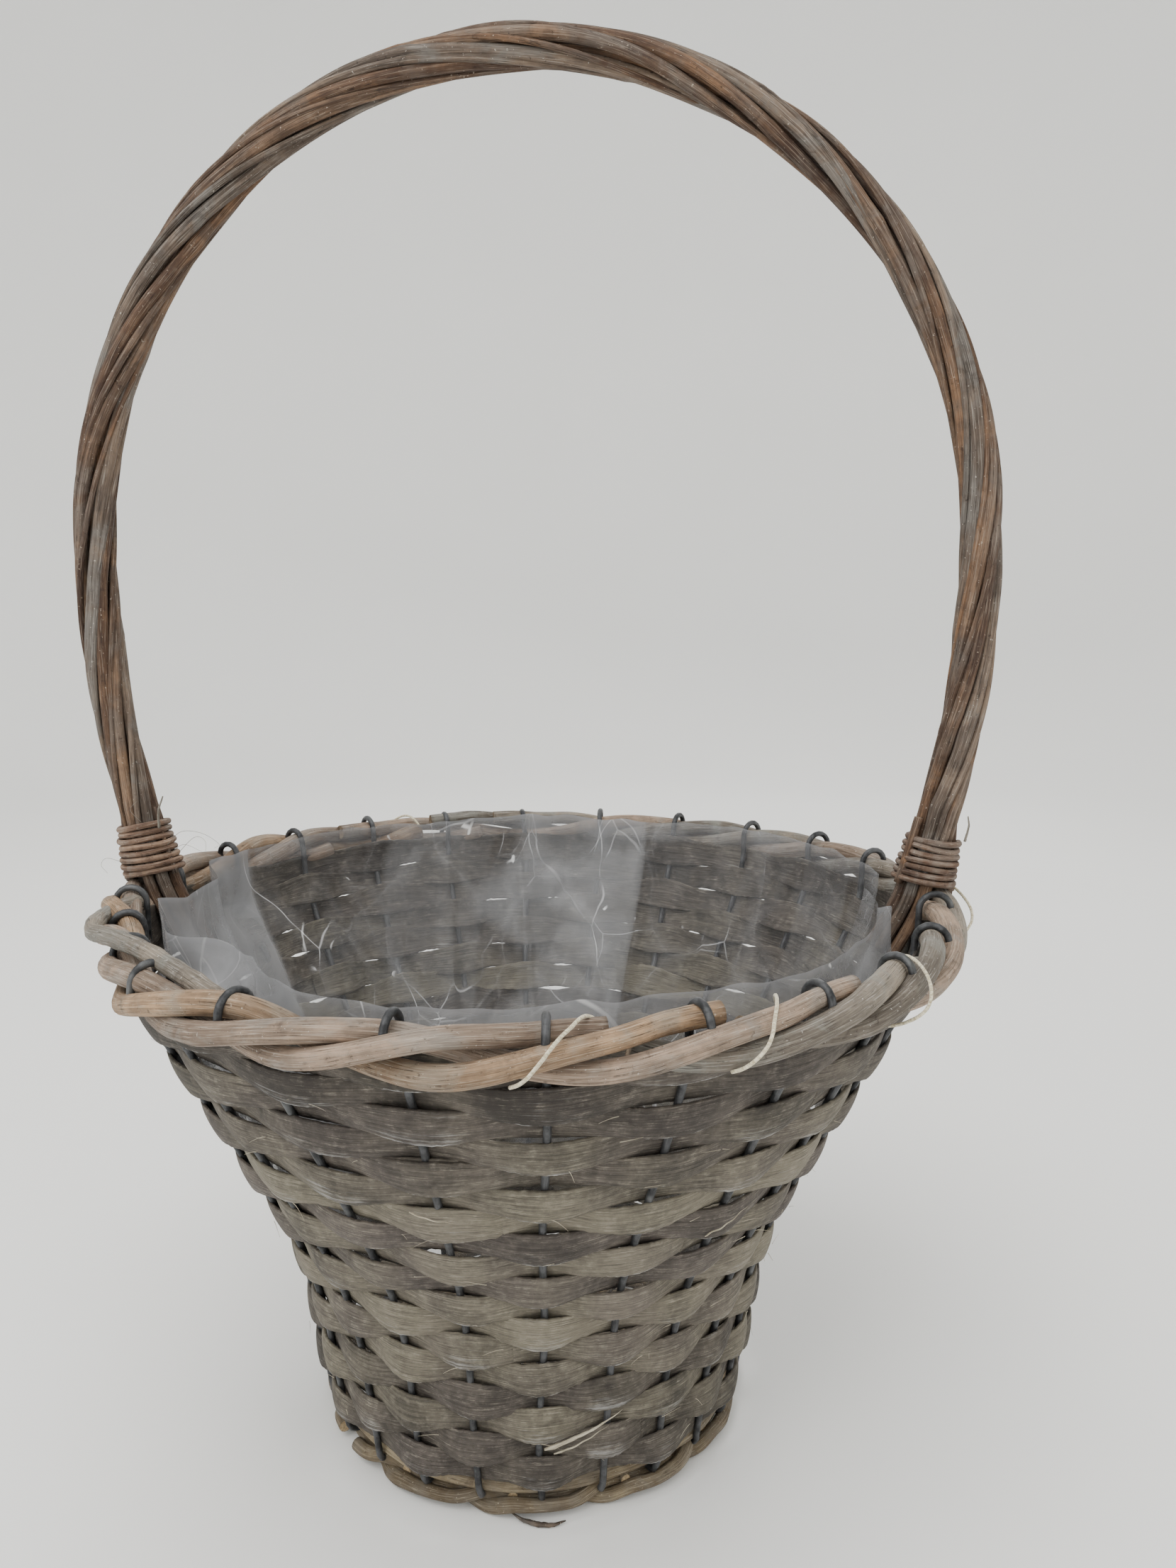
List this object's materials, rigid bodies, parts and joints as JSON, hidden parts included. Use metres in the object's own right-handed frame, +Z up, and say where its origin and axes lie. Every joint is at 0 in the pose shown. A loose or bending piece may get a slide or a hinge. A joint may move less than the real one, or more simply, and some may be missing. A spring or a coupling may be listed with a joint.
{
  "type": "hanging basket",
  "caption": "Flared woven basket of chip-wood strips on wire stakes, with a twisted rod border, a tall fixed hoop handle and a clear film liner.",
  "frame": {"origin": "centre of the floor, on the surface that the basket stands on", "axes": "+Z up through the basket's mouth to the crown of the handle; +X towards the right foot of the handle, so that the handle lies in the XZ plane"},
  "size_m": [0.3528, 0.3398, 0.5248],
  "materials": {
    "stake_wire": "dull galvanised wire",
    "chip_wood": "grey washed rough chip wood",
    "border_willow": "grey-tan willow with patches of bark",
    "handle_willow": "brown willow with grey and tan patches",
    "binding_cane": "brown round cane",
    "floor_willow": "pale tan willow",
    "liner_film": "clear crinkled polythene film",
    "cotton_thread": "cream cotton thread"
  },
  "bodies": {
    "root": {"wire_stakes": "stake_wire", "chip_strip_01": "chip_wood", "chip_strip_02": "chip_wood", "chip_strip_03": "chip_wood", "chip_strip_04": "chip_wood", "chip_strip_05": "chip_wood", "chip_strip_06": "chip_wood", "chip_strip_07": "chip_wood", "chip_strip_08": "chip_wood", "chip_strip_09": "chip_wood", "chip_strip_10": "chip_wood", "chip_strip_11": "chip_wood", "chip_strip_12": "chip_wood", "chip_strip_13": "chip_wood", "chip_strip_14": "chip_wood", "chip_strip_15": "chip_wood", "chip_strip_16": "chip_wood", "chip_strip_17": "chip_wood", "chip_strip_18": "chip_wood", "border_rod_1": "border_willow", "border_rod_2": "border_willow", "border_rod_3": "border_willow", "border_rod_4": "border_willow", "border_rod_5": "border_willow", "border_rod_6": "border_willow", "handle_rod_1": "handle_willow", "handle_rod_2": "handle_willow", "handle_rod_3": "handle_willow", "handle_rod_4": "handle_willow", "handle_rod_5": "handle_willow", "handle_rod_6": "handle_willow", "handle_core_rod": "handle_willow", "handle_stub_left": "handle_willow", "handle_stub_right": "handle_willow", "handle_binding_left": "binding_cane", "handle_binding_right": "binding_cane", "foot_rod_outer": "floor_willow", "foot_rod_inner": "floor_willow", "floor_hoop": "floor_willow", "floor_weavers": "floor_willow", "floor_spoke_1": "floor_willow", "floor_spoke_2": "floor_willow", "floor_spoke_3": "floor_willow", "floor_spoke_4": "floor_willow", "floor_spoke_5": "floor_willow", "floor_spoke_6": "floor_willow", "liner": "liner_film", "liner_stitches": "cotton_thread"}
  },
  "joints": []
}
